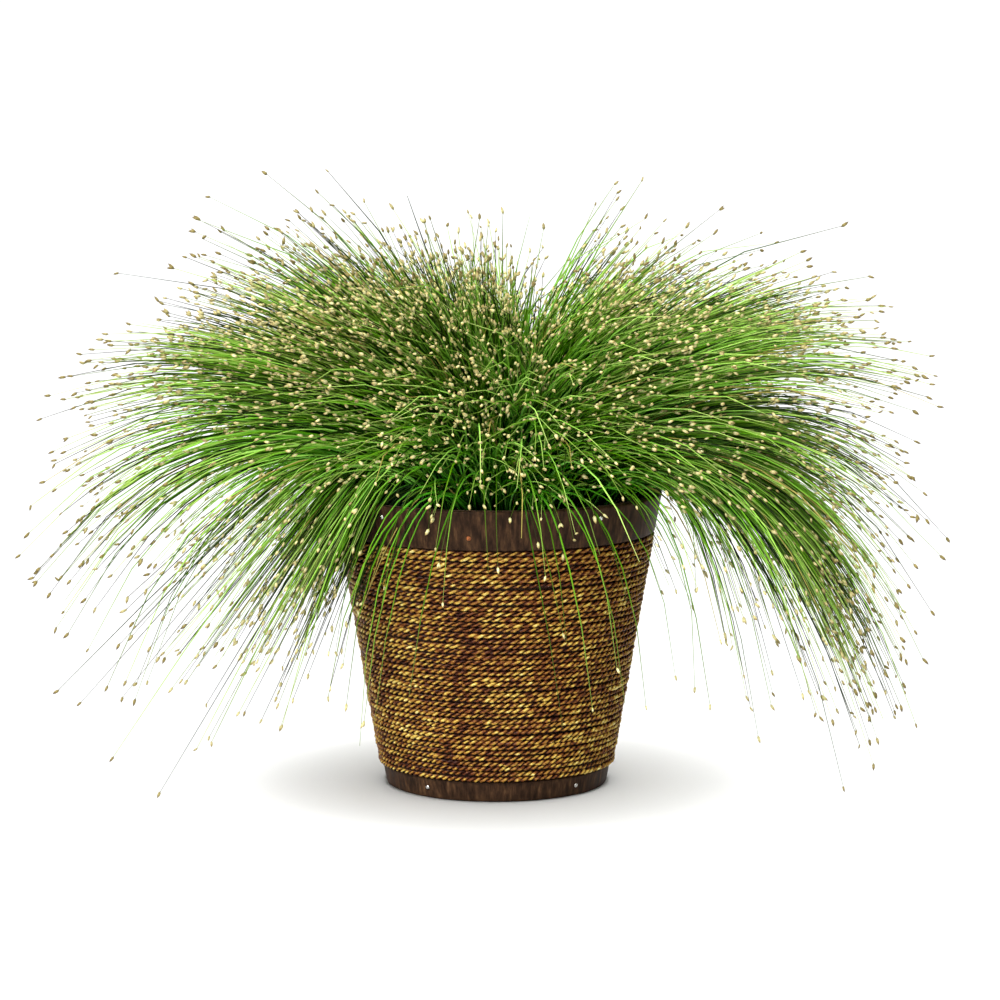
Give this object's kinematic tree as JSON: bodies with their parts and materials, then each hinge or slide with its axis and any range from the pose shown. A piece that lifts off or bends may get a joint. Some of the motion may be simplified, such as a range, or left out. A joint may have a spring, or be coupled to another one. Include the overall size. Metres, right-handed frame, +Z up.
{
  "type": "potted fiber optic grass",
  "caption": "Fine-stemmed tufted grass with small cream spikelets, arching out of a tapered planter wound with twisted cord.",
  "frame": {"origin": "centre of the planter's foot, on the surface that it stands on", "axes": "+Z up along the planter's axis, +X along the plant's widest spread, -Y towards the side that the picture shows"},
  "size_m": [0.4696, 0.3781, 0.3105],
  "materials": {
    "fibreboard": "matte",
    "cord": "satin",
    "bark_strip": "satin",
    "nail": "polished",
    "potting_mix": "matte",
    "green_stems": "satin"
  },
  "bodies": {
    "root": {"planter_body": "fibreboard", "rope_winding": "cord", "rim_band": "bark_strip", "foot_band": "bark_strip", "soil": "potting_mix", "rim_nail_1": "nail", "rim_nail_2": "nail", "rim_nail_3": "nail", "rim_nail_4": "nail", "rim_nail_low": "nail", "foot_nail_1": "nail", "foot_nail_2": "nail", "foot_nail_3": "nail", "foot_nail_4": "nail", "stems_crown_01": "green_stems", "stems_crown_02": "green_stems", "stems_crown_03": "green_stems", "stems_crown_04": "green_stems", "stems_crown_05": "green_stems", "stems_upper_01": "green_stems", "stems_upper_02": "green_stems", "stems_upper_03": "green_stems", "stems_upper_04": "green_stems", "stems_upper_05": "green_stems", "stems_upper_06": "green_stems", "stems_upper_07": "green_stems", "stems_upper_08": "green_stems", "stems_middle_01": "green_stems", "stems_middle_02": "green_stems", "stems_middle_03": "green_stems", "stems_middle_04": "green_stems", "stems_middle_05": "green_stems", "stems_middle_06": "green_stems", "stems_middle_07": "green_stems", "stems_middle_08": "green_stems", "stems_middle_09": "green_stems", "stems_middle_10": "green_stems", "stems_middle_11": "green_stems", "stems_outer_01": "green_stems", "stems_outer_02": "green_stems", "stems_outer_03": "green_stems", "stems_outer_04": "green_stems", "stems_outer_05": "green_stems", "stems_outer_06": "green_stems", "stems_outer_07": "green_stems", "stems_outer_08": "green_stems", "stems_outer_09": "green_stems", "stems_outer_10": "green_stems", "stems_outer_11": "green_stems", "stems_outer_12": "green_stems", "stems_skirt_01": "green_stems", "stems_skirt_02": "green_stems", "stems_skirt_03": "green_stems", "stems_skirt_04": "green_stems", "stems_skirt_05": "green_stems", "stems_skirt_06": "green_stems", "stems_skirt_07": "green_stems", "stems_skirt_08": "green_stems", "stems_skirt_09": "green_stems", "stems_skirt_10": "green_stems"}
  },
  "joints": []
}
